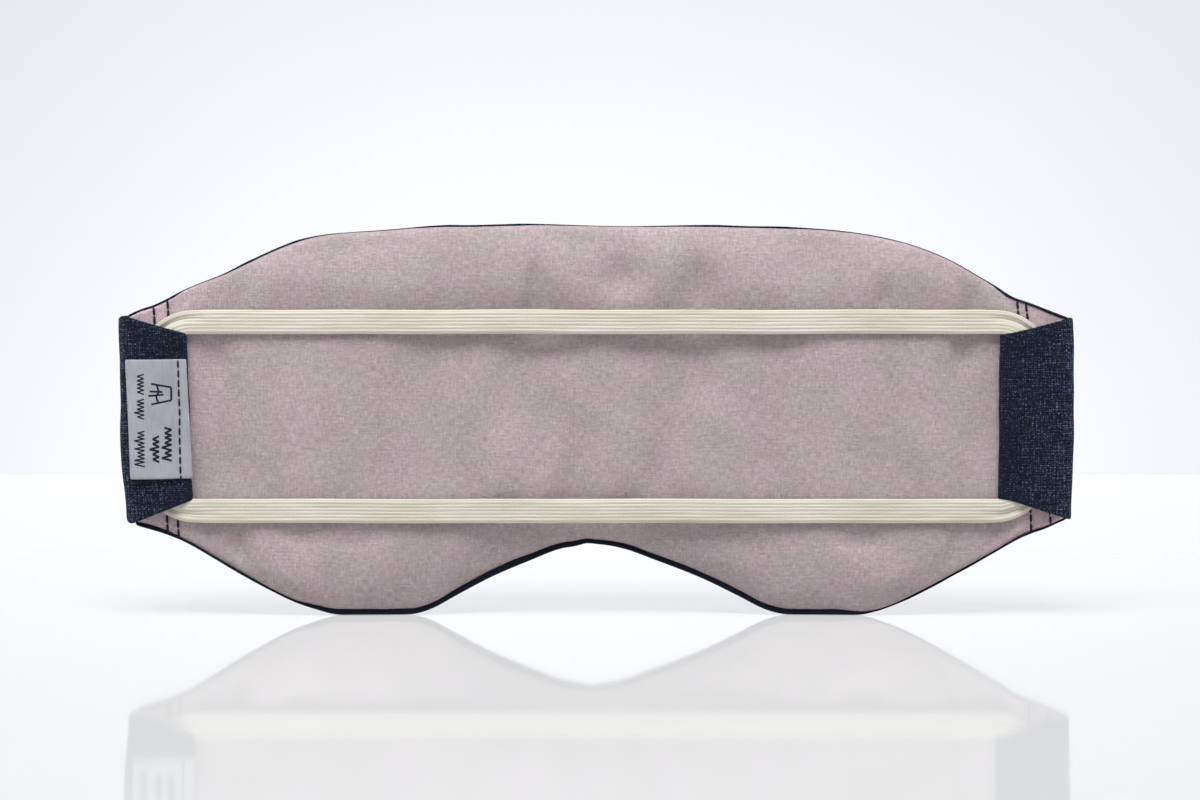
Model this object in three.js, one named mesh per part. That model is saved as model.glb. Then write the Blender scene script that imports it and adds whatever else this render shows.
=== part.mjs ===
// Wool-filled sleep eye mask, standing on its two cheek lobes with the lining towards -Y.
// Millimetres, +Z up, +X along the width. A navy front panel and a pink lining hold a wool pad between
// them. At each end a folded casing carries one endless elastic, which crosses the lining twice.
// A care label is sewn by one edge to the casing at -X and can be turned like a page.
// Side pieces are drawn at +X with "out" as their distance from the middle, and mirrored for -X.
import * as THREE from "three";

// Driving dimensions
const WIDTH = 228;
const FRONT_END = WIDTH / 2 - 0.6; // the front panel runs out over the casing's fold
const LINING_END = 111.9;
const BOW = 4.2; // how far the ends come forward of the middle
const FLAT_FROM = 100; // beyond this distance the end tabs are flat
const CLOTH = 0.8;
const GAP = 0.3;
const RIM_HALF = 1.5; // half the pad's thickness at its sewn rim
const BACK_PUFF = 4.2; // the lining's greatest rise from the middle surface
const FRONT_PUFF = 5.0;
const EDGE_ROUNDING = 16; // the pad reaches its full thickness this far inside its rim
const END_TAPER = [101, 70]; // the pad thins out between these distances from the middle
const DEPTH_SHIFT = 2.225; // puts the middle of the whole depth at y = 0

const ELASTIC = { width: 5.8, thick: 1, upperZ: 70.9, lowerZ: 25.7 };
const STRAP_Y = -BOW - 2.5; // the elastic's middle plane
const STRAP_END = 97.2; // half the length of an elastic's free run
const PAD_LIMIT_Y = STRAP_Y + ELASTIC.thick / 2 + 0.4; // the lining stays behind this
const MID_Z = (ELASTIC.upperZ + ELASTIC.lowerZ) / 2;

const FOLD = { centre: 111.4, radius: 2.2 };
const FLAP = { inner: 97.5, hemEnd: 101, bulgeFrom: 104, halfAtInner: 19.2, halfAtFold: 23.9 };
const THREAD = 0.25;
// Stitch rows that close the wool in, as how far out each is at its top and at its bottom.
const END_ROWS = {
  left: { inner: [103.7, 101.6], outer: [107.1, 103.9] },
  right: { inner: [101.2, 103.4], outer: [103.2, 107.4] },
};
const FLAP_ROW = 100; // the row that holds the casing's hem down
const LABEL = { margin: [98, 100.15], hinge: 100.5, out: 113.1, bottom: 33.4, top: 62.2, thick: 0.3 };

// The rim of the mask, right half, as (distance from the middle, height).
const TOP_RIM = [
  [0, 93.8], [24, 93.9], [46, 93.2], [62, 92], [70, 90.6], [77, 88.6],
  [84, 85.6], [92, 80.9], [99, 77], [104, 75.5], [WIDTH / 2, 72.3],
];
const BOTTOM_RIM = [
  [0, 17], [7, 16], [15, 13], [25, 8.9], [34, 4.4], [40, 1.3], [45, 0], [63, 0],
  [68.5, 1.6], [78, 6.2], [86, 10.6], [94, 15.2], [101, 19], [106, 20.9], [WIDTH / 2, 23.2],
];

const NAVY = new THREE.MeshStandardMaterial({ color: 0x232c44, roughness: 0.95, metalness: 0 });
const PINK = new THREE.MeshStandardMaterial({ color: 0xb5a5a8, roughness: 0.95, metalness: 0 });
const WOOL = new THREE.MeshStandardMaterial({ color: 0xe8e2d4, roughness: 1, metalness: 0 });
const CREAM = new THREE.MeshStandardMaterial({ color: 0xddd8c9, roughness: 0.85, metalness: 0 });
const DARK_THREAD = new THREE.MeshStandardMaterial({ color: 0x1a1a24, roughness: 0.8, metalness: 0 });
const SATIN = new THREE.MeshStandardMaterial({ color: 0xb4b6bb, roughness: 0.6, metalness: 0 });

const mask = new THREE.Group();

function add(name, geometry, material, group = mask) {
  const mesh = new THREE.Mesh(geometry, material);
  mesh.name = name;
  group.add(mesh);
}

// A grid of na by nb cells, one cell thick, each corner put where place says. The third number runs
// from 0 to 1 towards the side that faces -Y when the first runs along +X and the second along +Z.
function shapedBox(na, nb, place) {
  const geometry = new THREE.BoxGeometry(na, nb, 1, na, nb, 1).translate(na / 2, nb / 2, 0.5);
  const position = geometry.attributes.position;
  for (let i = 0; i < position.count; i++) {
    const a = Math.round(position.getX(i));
    const b = Math.round(position.getY(i));
    position.setXYZ(i, ...place(a, b, Math.round(position.getZ(i))));
  }
  return geometry;
}

// A flat outline in X and Z, thick along Y, with its front face at the given y.
function plate(outline, thick, frontY) {
  const shape = new THREE.Shape(outline.map(([x, z]) => new THREE.Vector2(x, z)));
  const geometry = new THREE.ExtrudeGeometry(shape, { depth: thick, bevelEnabled: false });
  return geometry.rotateX(Math.PI / 2).translate(0, frontY + thick, 0);
}

function bar(x0, x1, z0, z1, thick, frontY) {
  return plate([[x0, z0], [x1, z0], [x1, z1], [x0, z1]], thick, frontY);
}

// The height of a rim at a distance from the middle, read off a smooth curve through its points.
function rimReader(rim) {
  const curve = new THREE.SplineCurve(rim.map(([x, z]) => new THREE.Vector2(x, z)));
  const points = curve.getPoints(rim.length * 12);
  return (x) => {
    const out = Math.abs(x);
    const i = Math.max(1, points.findIndex((p) => p.x >= out - 1e-9));
    const [a, b] = [points[i - 1], points[i]];
    return Math.max(0, THREE.MathUtils.lerp(a.y, b.y, (out - a.x) / (b.x - a.x)));
  };
}
const topAt = rimReader(TOP_RIM);
const bottomAt = rimReader(BOTTOM_RIM);

const rimPoints = [];
for (let x = -FRONT_END; x <= FRONT_END; x += 2.5) {
  rimPoints.push([x, topAt(x)], [x, bottomAt(x)]);
}
const distanceToRim = (x, z) => Math.min(...rimPoints.map(([px, pz]) => Math.hypot(x - px, z - pz)));

const middleY = (x) => -BOW * (Math.min(Math.abs(x), FLAT_FROM) / FLAT_FROM) ** 2;

// How full the pad is, from 0 at its rim and ends to 1 over its middle.
function fullness(x, z) {
  const inside = Math.min(distanceToRim(x, z) / EDGE_ROUNDING, 1);
  const fromEnd = THREE.MathUtils.smoothstep(END_TAPER[0] - Math.abs(x), 0, END_TAPER[0] - END_TAPER[1]);
  return Math.sqrt(1 - (1 - inside) ** 2) * fromEnd;
}
const liningFace = (x, z) =>
  Math.max(middleY(x) - RIM_HALF - (BACK_PUFF - RIM_HALF) * fullness(x, z), PAD_LIMIT_Y);
const frontFace = (x, z) => middleY(x) + RIM_HALF + (FRONT_PUFF - RIM_HALF) * fullness(x, z);

// A sheet of the pad: columns every few millimetres, and rows at fixed distances from both rims.
function padSheet(halfWidth, fromBottom, fromTop, nearFace, farFace) {
  const step = 4.5; // the lobes' flat stretch begins and ends on a column
  const columns = [];
  for (let x = 0; x < halfWidth - 1; x += step) columns.push(x);
  columns.push(halfWidth);
  const xs = [...columns.slice(1).reverse().map((x) => -x), ...columns];
  const rows = fromBottom.length + fromTop.length;
  return shapedBox(xs.length - 1, rows, (a, b, c) => {
    const x = xs[a];
    let z = (topAt(x) + bottomAt(x)) / 2;
    if (b < fromBottom.length) z = bottomAt(x) + fromBottom[b];
    if (b > fromBottom.length) z = topAt(x) - fromTop[rows - b];
    const inset = b <= fromBottom.length ? fromBottom[b] ?? Infinity : fromTop[rows - b];
    return [x, c ? nearFace(x, z, inset) : farFace(x, z, inset), z];
  });
}

function addPad() {
  // The navy cloth rolls round the rim as a lip, wider along the bottom than along the top.
  const LIP = 1;
  const frontNear = (x, z, inset) =>
    inset <= LIP && Math.abs(x) < FRONT_END ? middleY(x) - RIM_HALF : frontFace(x, z) - CLOTH;
  const front = padSheet(FRONT_END, [0, LIP, 1.3, 4, 9, 16], [0, 0.5, 1.1, 4, 9, 16], frontNear, frontFace);
  add("front_panel", front, NAVY);
  const liningFar = (x, z) => liningFace(x, z) + CLOTH;
  add("back_panel", padSheet(LINING_END, [1.3, 4, 9, 16], [1.0, 4, 9, 16], liningFace, liningFar), PINK);
  const woolNear = (x, z) => liningFace(x, z) + CLOTH + GAP;
  const woolFar = (x, z) => frontFace(x, z) - CLOTH - GAP;
  add("wool_fill", padSheet(FLAT_FROM, [4.6, 9, 16], [4.6, 9, 16], woolNear, woolFar), WOOL);
}

// The seam that joins the panels, run inside the rim.
function addSeamThreads() {
  const inset = 2.8;
  const half = THREAD;
  const reach = 102;
  const steps = 44;
  for (const [name, rim, side] of [["upper_seam_thread", topAt, -1], ["lower_seam_thread", bottomAt, 1]]) {
    add(name, shapedBox(steps, 1, (a, b, c) => {
      const x = -reach + (2 * reach * a) / steps;
      return [x, middleY(x) + (c ? -half : half), rim(x) + side * inset + (b ? half : -half)];
    }), DARK_THREAD);
  }
}

// A strip that follows points (out, y) in plan, with its edges at heights that depend on out.
function foldedStrip(path, thick, halfHeight) {
  return shapedBox(path.length - 1, 1, (a, b, c) => {
    const before = path[Math.max(a - 1, 0)];
    const after = path[Math.min(a + 1, path.length - 1)];
    const along = new THREE.Vector2(after[0] - before[0], after[1] - before[1]).normalize();
    const [out, y] = path[a];
    const off = (c - 0.5) * thick(out, y);
    return [out + along.y * off, y - along.x * off, MID_Z + (b ? 1 : -1) * halfHeight(out)];
  });
}

const flapHalf = (out) =>
  THREE.MathUtils.mapLinear(Math.min(out, 114), FLAP.inner, 114, FLAP.halfAtInner, FLAP.halfAtFold);

// The casing: caught between the panels, folded round to the lining's side and hemmed there.
function casing() {
  const foldY = -BOW - FOLD.radius;
  const path = [[105.6, -BOW], [FOLD.centre, -BOW]];
  const turns = 8;
  for (let i = 1; i <= turns; i++) {
    const angle = Math.PI / 2 - (Math.PI * i) / turns;
    path.push([FOLD.centre + FOLD.radius * Math.cos(angle), foldY + FOLD.radius * Math.sin(angle)]);
  }
  const hemY = -BOW - 2.45;
  path.push([FLAP.bulgeFrom, -BOW - 2 * FOLD.radius], [FLAP.hemEnd, hemY], [FLAP.inner, hemY]);
  const hemmed = (out, y) => (out <= FLAP.hemEnd && y < foldY ? 1.3 : CLOTH);
  return foldedStrip(path, hemmed, flapHalf);
}

// The elastic's turn: in under the casing's slanting edge, down its tunnel and out again below.
function elasticTurn() {
  const z = ELASTIC.upperZ;
  const half = ELASTIC.width / 2;
  const upper = [
    [FLAP.inner, z - half], [FLAP.inner, z + half], [99.5, z + 2.8],
    [103.2, z + 1.6], [107, z - 0.8], [110.3, z - 4.6],
  ];
  const inner = [[104.4, z - 1.1], [FLAP.hemEnd, z - 1.9]];
  const mirror = ([out, height]) => [out, 2 * MID_Z - height];
  const outline = [...upper, ...upper.map(mirror).reverse(), ...inner.map(mirror).reverse(), ...inner];
  return plate(outline, ELASTIC.thick, STRAP_Y - ELASTIC.thick / 2);
}

// A row of stitching as one thread, upright or aslant, with its front face at the given y.
function stitchRow(outTop, outBottom, z0, z1, frontY) {
  const half = THREAD / 2;
  const outline = [
    [outBottom - half, z0], [outBottom + half, z0],
    [outTop + half, z1], [outTop - half, z1],
  ];
  return plate(outline, THREAD, frontY);
}

function zigzag(out, z0, z1, reach, frontY) {
  const left = [];
  const right = [];
  const teeth = 8;
  for (let i = 0; i <= teeth; i++) {
    const z = THREE.MathUtils.lerp(z0, z1, i / teeth);
    const x = out + (i % 2 ? reach : -reach);
    left.push([x - THREAD, z]);
    right.push([x + THREAD, z]);
  }
  return plate([...right, ...left.reverse()], 0.15, frontY);
}

function addSide(side, mirror) {
  const group = new THREE.Group();
  group.scale.x = mirror ? -1 : 1;
  mask.add(group);
  add(`${side}_casing`, casing(), NAVY, group);
  add(`${side}_elastic_turn`, elasticTurn(), CREAM, group);

  const clear = 0.08;
  const hemFront = -BOW - 2.45 - 0.65;
  const liningFront = -BOW - RIM_HALF;
  const labelRoom = mirror ? LABEL.thick + clear : 0;
  const rowFront = hemFront - labelRoom - clear - THREAD;
  const hemRow = stitchRow(FLAP_ROW, FLAP_ROW, MID_Z - 19, MID_Z + 19, rowFront);
  add(`${side}_casing_stitch`, hemRow, DARK_THREAD, group);
  for (const [place, [outTop, outBottom]] of Object.entries(END_ROWS[side])) {
    const line = [outTop, outBottom, bottomAt(outBottom) + 1.2, topAt(outTop) - 0.8];
    const nearFace = liningFront - clear - THREAD;
    const farFace = -BOW + RIM_HALF + clear;
    add(`${side}_end_stitch_${place}`, stitchRow(...line, nearFace), DARK_THREAD, group);
    add(`${side}_end_bobbin_${place}`, stitchRow(...line, farFace), DARK_THREAD, group);
  }

  if (mirror) {
    // The label's sewn margin stays put, and its leaf turns about the stitching.
    const marginFront = hemFront - clear - LABEL.thick;
    const margin = bar(...LABEL.margin, LABEL.bottom, LABEL.top, LABEL.thick, marginFront);
    add("care_label_margin", margin, SATIN, group);
    const leafY = -BOW - 2 * FOLD.radius - CLOTH / 2 - 0.3;
    const hingeY = rowFront - 0.25; // in front of the stitching, so the leaf clears it when it is turned
    const path = [[LABEL.hinge, hingeY], [FLAP.bulgeFrom, leafY], [LABEL.out, leafY]];
    const half = (LABEL.top - LABEL.bottom) / 2;
    const leaf = foldedStrip(path.reverse(), () => LABEL.thick, () => half);
    add("care_label_leaf", leaf.translate(0, 0, (LABEL.top + LABEL.bottom) / 2 - MID_Z), SATIN, group);
  } else {
    // The elastic's two ends lap inside this casing and are zigzagged together.
    const lapFront = STRAP_Y - ELASTIC.thick / 2 - 0.1 - 0.5;
    add("elastic_join_lap", bar(104.8, 110, MID_Z - 8, MID_Z + 8, 0.5, lapFront), CREAM, group);
    const joinStitch = zigzag(107.4, MID_Z - 6, MID_Z + 6, 1.8, lapFront - 0.22);
    add("elastic_join_zigzag", joinStitch, DARK_THREAD, group);
  }
}

function addStraps() {
  const half = ELASTIC.width / 2;
  const front = STRAP_Y - ELASTIC.thick / 2;
  for (const [name, z] of [["elastic_upper_run", ELASTIC.upperZ], ["elastic_lower_run", ELASTIC.lowerZ]]) {
    add(name, bar(-STRAP_END, STRAP_END, z - half, z + half, ELASTIC.thick, front), CREAM);
  }
}

addPad();
addSeamThreads();
addSide("left", true);
addSide("right", false);
addStraps();
mask.position.y = DEPTH_SHIFT;

const part = new THREE.Group();
part.add(mask);
export default part;
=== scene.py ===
"""A wool-filled sleep eye mask, standing on its two cheek lobes and seen from its lining's side.

Shapes are worked out in millimetres in the row frame (+X along the width, -Y out of the lining, +Z up), and
turned into metres where a mesh is made. The pad comes from a cloth simulation, whose folds are laid over the
CAD model's profile. Cloths, casings, elastic and label are thin closed shells over grids of points.
"""
import math

import bpy
import numpy as np
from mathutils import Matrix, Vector
from mathutils.bvhtree import BVHTree


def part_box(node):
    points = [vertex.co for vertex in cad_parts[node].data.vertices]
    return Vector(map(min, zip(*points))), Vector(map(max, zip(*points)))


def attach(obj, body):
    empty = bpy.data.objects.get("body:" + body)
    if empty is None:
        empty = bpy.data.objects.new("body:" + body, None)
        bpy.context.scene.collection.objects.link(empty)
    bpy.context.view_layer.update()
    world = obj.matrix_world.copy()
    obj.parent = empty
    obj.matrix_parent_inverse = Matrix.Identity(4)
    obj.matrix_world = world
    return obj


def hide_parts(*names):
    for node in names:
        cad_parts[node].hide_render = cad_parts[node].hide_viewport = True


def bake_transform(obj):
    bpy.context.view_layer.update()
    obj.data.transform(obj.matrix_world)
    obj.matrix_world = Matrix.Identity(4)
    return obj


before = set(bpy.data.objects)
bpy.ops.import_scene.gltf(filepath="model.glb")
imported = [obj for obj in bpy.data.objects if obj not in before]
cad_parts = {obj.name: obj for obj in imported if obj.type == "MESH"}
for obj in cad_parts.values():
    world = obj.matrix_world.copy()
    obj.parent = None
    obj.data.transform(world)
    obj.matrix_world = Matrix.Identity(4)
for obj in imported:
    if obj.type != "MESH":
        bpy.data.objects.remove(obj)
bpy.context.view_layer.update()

MM = 0.001


def mm_box(node):
    """Lowest and highest corner of a CAD node, in millimetres."""
    return [np.array(corner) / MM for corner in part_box(node)]


PANEL_LOW = mm_box("front_panel")[0]
UPPER_LOW, UPPER_HIGH = mm_box("elastic_upper_run")
LOWER_LOW, LOWER_HIGH = mm_box("elastic_lower_run")
MARGIN_LOW, MARGIN_HIGH = mm_box("care_label_margin")

ELASTIC_WIDTH = UPPER_HIGH[2] - UPPER_LOW[2]
STRAP_Y = (UPPER_LOW[1] + UPPER_HIGH[1]) / 2
UPPER_Z = (UPPER_LOW[2] + UPPER_HIGH[2]) / 2
LOWER_Z = (LOWER_LOW[2] + LOWER_HIGH[2]) / 2
MIDDLE_Z = (UPPER_Z + LOWER_Z) / 2

# The pad, as the CAD model has it
BOW = 4.2  # how far its ends come forward of its middle
FLAT_FROM = 100
CENTRE_Y = 2.225  # the middle surface at x = 0
RIM_HALF = 1.5
BACK_PUFF = 4.3
FRONT_PUFF = 5.0
EDGE_ROUNDING = 17
END_TAPER = (101, 70)  # the filling thins out to nothing between these, from the inner one outwards
PAD_LIMIT_Y = UPPER_HIGH[1] + 0.25  # the lining stays behind the elastic
LINING_THICK = 0.5
NAVY_THICK = 0.6
TOP_RIM = [
    (0, 93.8), (24, 93.9), (46, 93.2), (62, 92), (70, 90.6), (77, 88.6),
    (84, 85.6), (92, 80.9), (99, 77), (104, 75.5), (114, 72.3),
]
BOTTOM_RIM = [
    (0, 17), (7, 16), (15, 13), (25, 8.9), (34, 4.4), (40, 1.3), (45, 0), (63, 0),
    (68.5, 1.6), (78, 6.2), (86, 10.6), (94, 15.2), (101, 19), (106, 20.9), (114, 23.2),
]
# How far out each end stitch row runs, at its top and at its bottom
END_ROWS = {"left": {"inner": (102.0, 101.7), "outer": (105.4, 104.3)},
            "right": {"inner": (99.8, 103.6), "outer": (101.8, 108.4)}}
ROW_SPAN = (21, 75)  # the heights at which END_ROWS gives an end stitch row's lower and upper place
SIDES = {"left": -1, "right": 1}


# Curves and fields

def columns(values, count):
    """So many equal columns of the same values."""
    return np.repeat(values[:, None], count, 1)


def distances(points, axis=0):
    """How far along its line each point is, in a line of points or a grid of them."""
    steps = np.linalg.norm(np.diff(points, axis=axis), axis=-1)
    start = np.zeros_like(np.take(steps, [0], axis))
    return np.concatenate([start, np.cumsum(steps, axis)], axis)


def smooth_line(points, x):
    """A smooth curve through (x, z) points, level at its first point."""
    px, pz = np.array(points, float).T
    slopes = np.diff(pz) / np.diff(px)
    tangents = np.concatenate([[0], (slopes[1:] + slopes[:-1]) / 2, [slopes[-1]]])
    x = np.clip(x, px[0], px[-1])
    i = np.clip(np.searchsorted(px, x, side="right") - 1, 0, len(px) - 2)
    step = px[i + 1] - px[i]
    t = (x - px[i]) / step
    near, far = 2 * t**3 - 3 * t**2 + 1, 3 * t**2 - 2 * t**3
    bend = (t**3 - 2 * t**2 + t) * step * tangents[i] + (t**3 - t**2) * step * tangents[i + 1]
    return near * pz[i] + far * pz[i + 1] + bend


def smoothstep(x, low, high):
    """Rises smoothly from 0 at low to 1 at high."""
    t = np.clip((x - low) / (high - low), 0, 1)
    return t * t * (3 - 2 * t)


def bump(x, centre, width):
    """A round bump of height 1."""
    return np.exp(-(((x - centre) / width) ** 2))


def top_at(x):
    """The upper rim: lower at its left shoulder than at its right one, with a dip right of the middle."""
    dips = 0.8 * bump(x, -85, 9) + 0.6 * bump(x, 10, 20) + 0.6 * bump(x, -54, 12) + 0.6 * bump(x, 78, 26)
    at_ends = 1.1 * smoothstep(x, 100, 112) + 1.4 * smoothstep(-x, 97.5, 107) - 0.8 * smoothstep(-x, 88, 98)
    at_ends += 0.4 * smoothstep(-x, 108, 112)
    return smooth_line(TOP_RIM, np.abs(x)) - dips - at_ends


def bottom_at(x):
    """The lower rim. It rests flat on two lobes, its notch is a little left of the middle, its left slope is
    a little fuller than its right one, and a snip in the seam makes a small nick over the nose."""
    nick = 0.35 * bump(x, -3, 1.2) - 0.25 * bump(x, -6, 1.8)
    moved = x + 1.9 * bump(x, -8, 30)
    fuller = 0.7 * smoothstep(-x, 66, 76) - 1.1 * smoothstep(x, 106, 112)
    return np.maximum(smooth_line(BOTTOM_RIM, np.abs(moved)) - fuller, 0) + nick


def middle_y(x):
    return CENTRE_Y - BOW * (np.minimum(np.abs(x), FLAT_FROM) / FLAT_FROM) ** 2


def wander(x, seed, lengths, amount):
    """A smooth irregular wave along x, the same each run."""
    rng = np.random.default_rng(seed)
    total = np.zeros_like(np.asarray(x, float))
    for length in lengths:
        total += np.sin(2 * math.pi * (np.asarray(x) / length + rng.random())) * rng.uniform(0.5, 1)
    return amount * total / len(lengths)


def lower_lip(x):
    """How wide the navy lip shows along the lower rim: widest beside the notch, narrow at the right end."""
    width = 1.35 + 0.3 * bump(x, -24, 14) - 0.25 * bump(x, 0, 8) + 0.1 * bump(x, 26, 16)
    right_end = 0.45 * bump(x, 103, 5) - 1.2 * smoothstep(x, 54, 74)
    left_end = 0.45 * bump(x, -107.5, 4) - 0.65 * smoothstep(-x, 64, 74)
    return np.maximum(width + right_end + left_end + wander(x, 3, (31, 13, 7, 3.5), 0.17), 0.12)


def upper_lip(x):
    """How wide the navy lip shows along the upper rim: in a few thin stretches, and along the ends."""
    patches = 0.5 * (bump(x, -79, 9) + bump(x, -28, 14) + bump(x, 36, 15))
    ends = 0.8 * smoothstep(x, 92, 98) * (1 - 0.35 * smoothstep(x, 103, 112))
    ends += 0.55 * smoothstep(-x, 98, 102) * (1 - 0.5 * bump(x, -109, 3))
    return np.maximum(patches + ends + wander(x, 5, (47, 23, 11), 0.1) - 0.35, -0.5)


def lean(points):
    """The left end was sewn a little out of square, so its top reaches further out than its bottom."""
    out = smoothstep(-points[..., 0], 84, 104)
    moved = points.copy()
    moved[..., 0] -= 0.035 * out * (points[..., 2] - MIDDLE_Z)
    return moved


def fullness(x, inset):
    """How full the pad is, from 0 at its rim and ends to 1 over its middle."""
    inside = np.clip(inset / EDGE_ROUNDING, 0, 1)
    from_end = smoothstep(END_TAPER[0] - np.abs(x), 0, END_TAPER[0] - END_TAPER[1])
    return np.sqrt(1 - (1 - inside) ** 2) * from_end


# Soft hollows in the lining: x, z, half sizes along x and z, depth
HOLLOWS = [
    (-15, 78.5, 1.9, 8, 0.95), (6, 81, 5.5, 4.5, 1.0), (24, 80, 4, 5.5, 0.8), (68, 77, 1.6, 4, 0.7),
    (-86, 75, 1.4, 3.5, 0.5), (89.5, 74, 2.2, 4.5, 0.9), (-44, 84, 6, 4, 0.25), (48, 84, 5, 5, 0.3),
    (-13, 65, 7, 3.5, 0.3), (9, 65, 5, 3.5, 0.5), (40, 65, 12, 2.5, 0.3), (87, 63, 2.2, 4.5, 0.8),
    (-92, 62, 3, 5, 0.4), (-6, 37, 3, 10, 0.5), (14, 33, 3.5, 6, 0.55), (-45, 34, 9, 5, 0.3),
    (-71, 20, 4, 2.5, 0.5), (-86, 18, 1.8, 5, 0.7), (-58, 19, 7, 2.5, 0.35), (63, 19, 6, 2.6, 0.6),
    (85, 18, 1.8, 6, 0.5), (96, 22, 1.6, 4, 0.4), (33, 18, 8, 3, 0.3), (60, 45, 9, 12, 0.25),
    (106.3, 72.5, 0.8, 2, 0.5), (-99.5, 75.5, 0.9, 2, 0.4), (-107, 70, 0.8, 2.5, 0.3), (109, 27, 0.9, 2, 0.3),
]
HOLLOW_STRENGTH = 2.2


def hollows(x, z):
    """How deep the soft hollows are at a place."""
    total = np.zeros_like(x)
    for cx, cz, wide, tall, depth in HOLLOWS:
        total += HOLLOW_STRENGTH * depth * bump(x, cx, wide) * bump(z, cz, tall)
    return total


def strap_hollows(x, z):
    """Long use has pressed the pad in a little where the elastic crosses it."""
    depth = 1 + wander(x, 43, (61, 27, 15), 0.5)
    upper = UPPER_Z + 2
    return depth * (0.95 * bump(z, upper, np.where(z > upper, 5.2, 3)) + 0.3 * bump(z, LOWER_Z, 5))


def end_slope(x, z):
    """Past the filling, the pad's flat ends lean back towards their upper edge."""
    return 0.9 * smoothstep(np.abs(x), 91, 99) * smoothstep(z - top_at(x), -7, 0)


def row_x(side, place, z):
    """Where an end stitch row runs at a height."""
    at_top, at_bottom = END_ROWS[side][place]
    return SIDES[side] * np.interp(z, ROW_SPAN, (at_bottom, at_top))


def row_grooves(x, z):
    """The stitch rows pull both cloths in along their lines."""
    total = np.zeros_like(x)
    for side, rows in END_ROWS.items():
        for place in rows:
            puckers = 1 + 0.5 * np.sin(2 * math.pi * z / STITCH["pitch"])
            total += 0.6 * puckers * bump(x, row_x(side, place, z), 1.0)
    return total


# Blender's own objects

def add_object(name, data):
    thing = bpy.data.objects.new(name, data)
    bpy.context.scene.collection.objects.link(thing)
    return thing


def new_mesh(name, points, faces):
    """A mesh from points in millimetres."""
    mesh = bpy.data.meshes.new(name)
    mesh.from_pydata((np.asarray(points, float) * MM).tolist(), [], faces)
    return mesh


def apply_modifier(thing, name):
    with bpy.context.temp_override(object=thing, active_object=thing):
        bpy.ops.object.modifier_apply(modifier=name)


# The cloth simulation that gives the pad its folds

SIM_COLUMNS, SIM_ROWS = 115, 48
SIM_HALF = 113
SIM_FRAMES = 16


def sim_rims(x):
    """The lower and upper edge of the simulated cloths, just inside the pad's rims."""
    return bottom_at(x) + 0.8, top_at(x) - 0.6


def sim_grid():
    x = columns(np.linspace(-SIM_HALF, SIM_HALF, SIM_COLUMNS), SIM_ROWS)
    low, high = sim_rims(x)
    z = low + (high - low) * np.linspace(0, 1, SIM_ROWS)
    inset = np.minimum(z - low, high - z)
    return x, z, inset


def blur(field, radius):
    """A Gaussian blur of a grid, with its edges repeated."""
    reach = int(3 * radius)
    weights = np.exp(-0.5 * (np.arange(-reach, reach + 1) / radius) ** 2)
    weights /= weights.sum()
    for axis in (0, 1):
        padding = [(reach, reach) if a == axis else (0, 0) for a in (0, 1)]
        padded = np.pad(field, padding, mode="edge")
        size = field.shape[axis]
        parts = [np.take(padded, range(k, k + size), axis=axis) * w for k, w in enumerate(weights)]
        field = np.sum(parts, axis=0)
    return field


def seeded_unevenness(x, z, rng):
    """Slow random waves, so that the folds don't come out the same on the left and the right."""
    total = np.zeros_like(x)
    for _ in range(24):
        angle, length, phase = rng.uniform(0, math.pi), rng.uniform(14, 40), rng.uniform(0, 2 * math.pi)
        along = x * math.cos(angle) * 1.6 + z * math.sin(angle) * 0.7
        total += np.sin(2 * math.pi * along / length + phase)
    return total * 0.04


def pad_form(x, z, full, rim):
    """The two cloths as one closed mesh, and a grid of vertex numbers for each cloth."""
    rng = np.random.default_rng(7)
    index = np.zeros((2, SIM_COLUMNS, SIM_ROWS), int)
    points = []
    for side, sign in enumerate((-1, 1)):
        uneven = seeded_unevenness(x, z, rng) * np.minimum(full * 2, 1)
        y = middle_y(x) + sign * np.where(rim, 0, 0.3 + 2.5 * full + uneven)
        own = ~rim if side else np.ones_like(rim)
        index[side][own] = len(points) + np.arange(own.sum())
        points += np.stack([x, y, z], -1)[own].tolist()
    index[1][rim] = index[0][rim]
    faces = grid_faces(index[0]) + grid_faces(index[1][:, ::-1])
    return add_object("pad_form", new_mesh("pad_form", points, faces)), index


def inflate(form, held_points):
    """Blows the form up a little for a few frames, with 1% more cloth than its shape needs."""
    held = form.vertex_groups.new(name="held")
    held.add(held_points, 1.0, "REPLACE")
    cloth = form.modifiers.new("cloth", "CLOTH")
    s = cloth.settings
    s.quality, s.mass, s.air_damping = 6, 0.3, 1
    s.tension_stiffness = s.compression_stiffness = 8
    s.shear_stiffness, s.bending_stiffness = 5, 5
    s.use_pressure, s.uniform_pressure_force = True, 3
    s.effector_weights.gravity = 0
    s.vertex_group_mass = "held"
    s.shrink_min = -0.01
    cloth.collision_settings.use_collision = False
    cloth.point_cache.frame_start, cloth.point_cache.frame_end = 1, SIM_FRAMES
    for number in range(1, SIM_FRAMES + 1):
        bpy.context.scene.frame_set(number)
    apply_modifier(form, "cloth")


def simulate_pad():
    """Two cloths joined round the rim and blown up a little. Returns how far the folds of each one stand out
    from a smooth pad, on the simulation's grid."""
    x, z, inset = sim_grid()
    full = fullness(x, inset)
    rim = np.zeros_like(x, bool)
    rim[[0, -1], :] = rim[:, [0, -1]] = True
    form, index = pad_form(x, z, full, rim)
    still = rim | (np.abs(x) > END_TAPER[0])
    inflate(form, [int(k) for k in np.unique(index[:, still])])
    flat = np.empty(len(form.data.vertices) * 3)
    form.data.vertices.foreach_get("co", flat)
    y = flat.reshape(-1, 3)[index][..., 1] / MM
    bpy.data.objects.remove(form)
    bpy.context.scene.frame_set(1)
    fade = np.minimum(full * 1.5, 1)
    return [(blur(sign * y[side], 0.9) - blur(sign * y[side], 6)) * fade for side, sign in enumerate((-1, 1))]


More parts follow.
